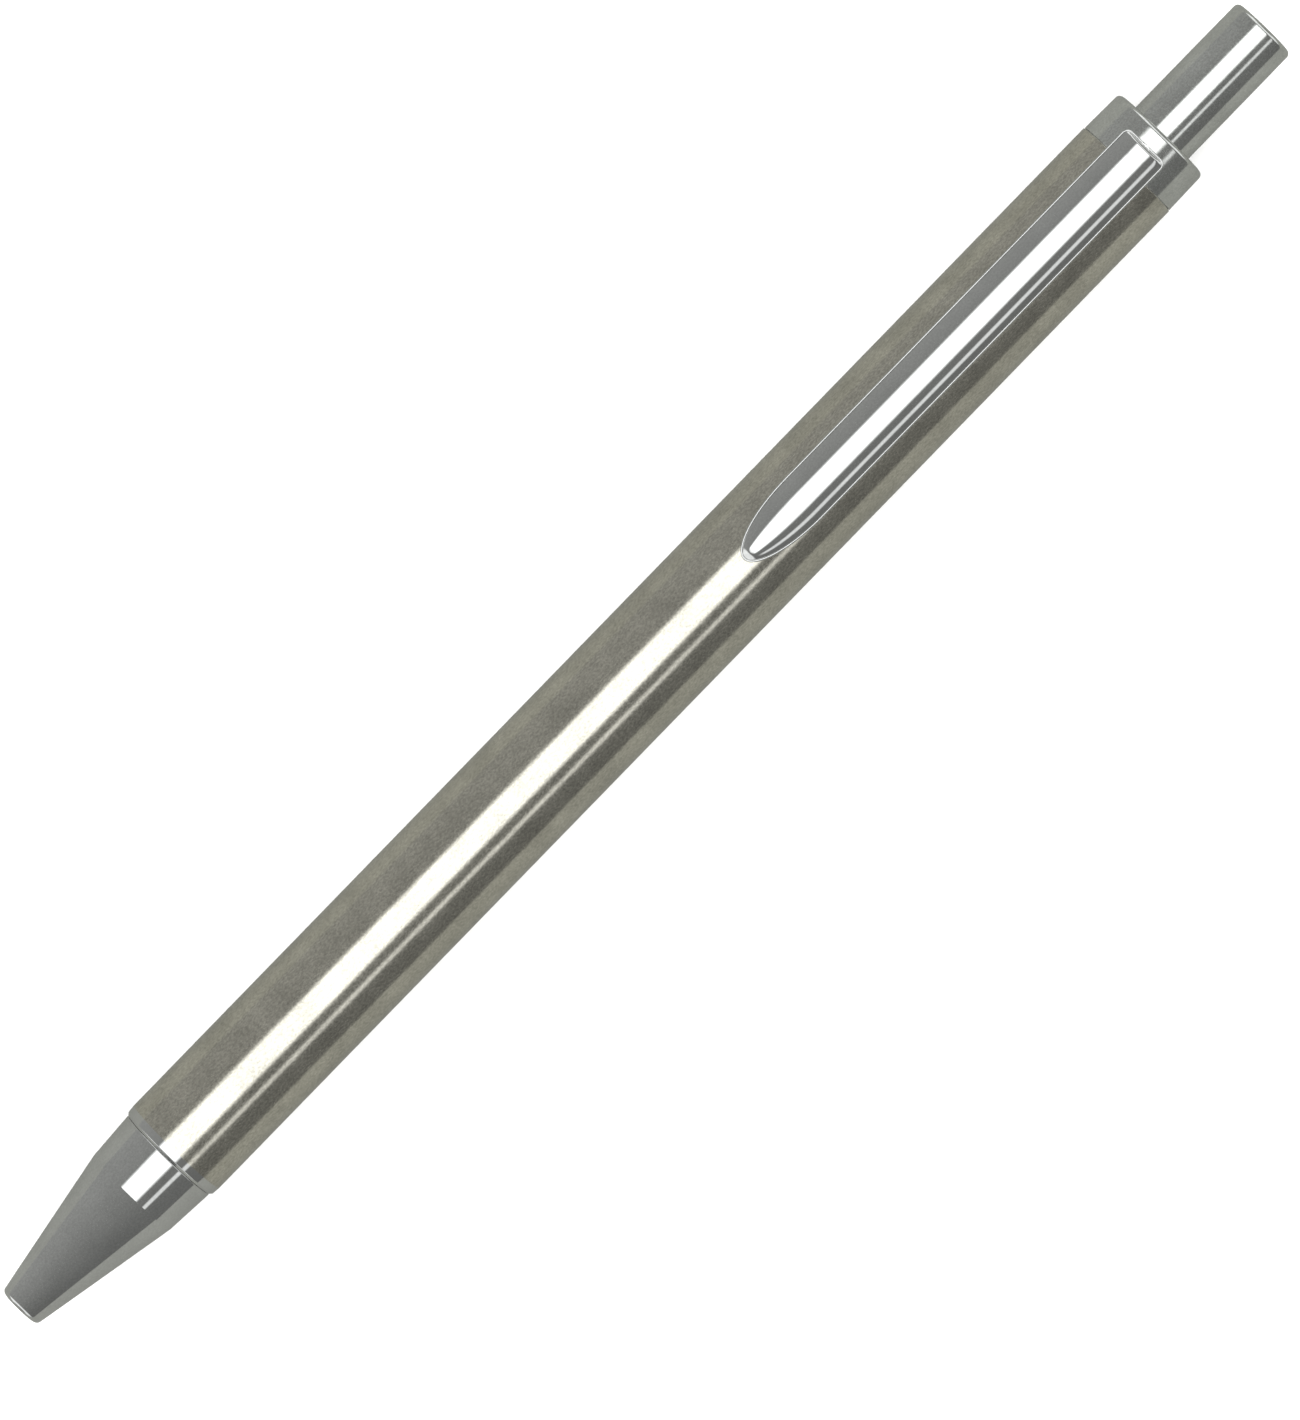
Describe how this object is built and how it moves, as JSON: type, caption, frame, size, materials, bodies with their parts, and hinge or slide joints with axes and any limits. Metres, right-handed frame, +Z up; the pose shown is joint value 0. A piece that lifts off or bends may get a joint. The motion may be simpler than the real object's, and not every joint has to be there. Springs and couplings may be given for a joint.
{
  "type": "retractable rollerball pen",
  "caption": "Retractable metal pen with a domed pocket clip, a screw-on cone nose, a click mechanism and a replaceable capless rollerball refill.",
  "frame": {"origin": "on the surface that the pen lies on, under the middle of its length, with the clip on top", "axes": "+X along the pen from the nose to the button, +Z up through the clip, +Y across the pen"},
  "size_m": [0.144, 0.0096, 0.0111],
  "materials": {
    "brushed_barrel": "long-grain brushed stainless steel",
    "polished_nose": "polished chrome plate",
    "polished_ring": "polished chrome plate",
    "polished_clip": "polished chrome plate",
    "satin_collar": "satin chrome plate",
    "satin_button": "satin chrome plate",
    "cam_plastic": "moulded acetal",
    "cam_sleeve": "turned brass",
    "spring_steel": "drawn spring wire",
    "refill_metal": "bright nickel-silver tube",
    "refill_black": "moulded black plastic",
    "needle_steel": "drawn stainless steel",
    "point_steel": "turned stainless steel",
    "ball_carbide": "polished tungsten carbide",
    "ink_fibre": "ink-soaked fibre",
    "clear_film": "thin plastic film"
  },
  "bodies": {
    "barrel": {"barrel_tube": "brushed_barrel", "front_bush": "polished_ring", "top_collar": "satin_collar", "cam_sleeve": "cam_sleeve"},
    "button": {"push_button": "satin_button", "plunger": "cam_plastic"},
    "rotor": {"cam_rotor": "cam_plastic"},
    "refill": {"refill_tube": "refill_metal", "refill_end_plug": "refill_black", "point_holder": "refill_black", "needle_tube": "needle_steel", "point_tip": "point_steel", "ball_spring": "spring_steel", "feed_wick": "ink_fibre", "ink_reservoir": "ink_fibre", "reservoir_film": "clear_film"},
    "ball": {"writing_ball": "ball_carbide"},
    "spring": {"return_spring": "spring_steel"},
    "nose": {"nose_cone": "polished_nose"},
    "clip": {"pocket_clip": "polished_clip"}
  },
  "joints": [
    {"name": "button_press", "type": "slide", "parent": "barrel", "child": "button", "axis": [-1, 0, 0], "range_m": [0, 0.0058], "stiffness_N_per_m": 300, "springref_m": -0.0035, "deforming": ["return_spring"]},
    {"name": "rotor_push", "type": "slide", "parent": "barrel", "child": "rotor", "axis": [-1, 0, 0], "range_m": [0, 0.0058]},
    {"name": "refill_slide", "type": "slide", "parent": "barrel", "child": "refill", "axis": [-1, 0, 0], "range_m": [0, 0.0058]},
    {"name": "ball_roll", "type": "hinge", "parent": "refill", "child": "ball", "pos_m": [-0.07045, 0, 0.0048], "axis": [0, 1, 0], "continuous": true},
    {"name": "nose_travel", "type": "slide", "parent": "barrel", "child": "spring", "axis": [-1, 0, 0], "range_m": [0, 0.00431]},
    {"name": "nose_unscrew", "type": "hinge", "parent": "spring", "child": "nose", "pos_m": [-0.06, 0, 0.0048], "axis": [-1, 0, 0], "range_deg": [0, 2070]},
    {"name": "clip_flex", "type": "hinge", "parent": "barrel", "child": "clip", "pos_m": [0.0573, 0, 0.00875], "axis": [0, 1, 0], "range_deg": [0, 2.5], "stiffness_Nm_per_rad": 5}
  ],
  "couplings": [
    {"joint": "rotor_push", "follows": "button_press", "ratio": 1},
    {"joint": "refill_slide", "follows": "button_press", "ratio": 1},
    {"joint": "nose_unscrew", "follows": "nose_travel", "rad_per_m": 8377.6}
  ]
}
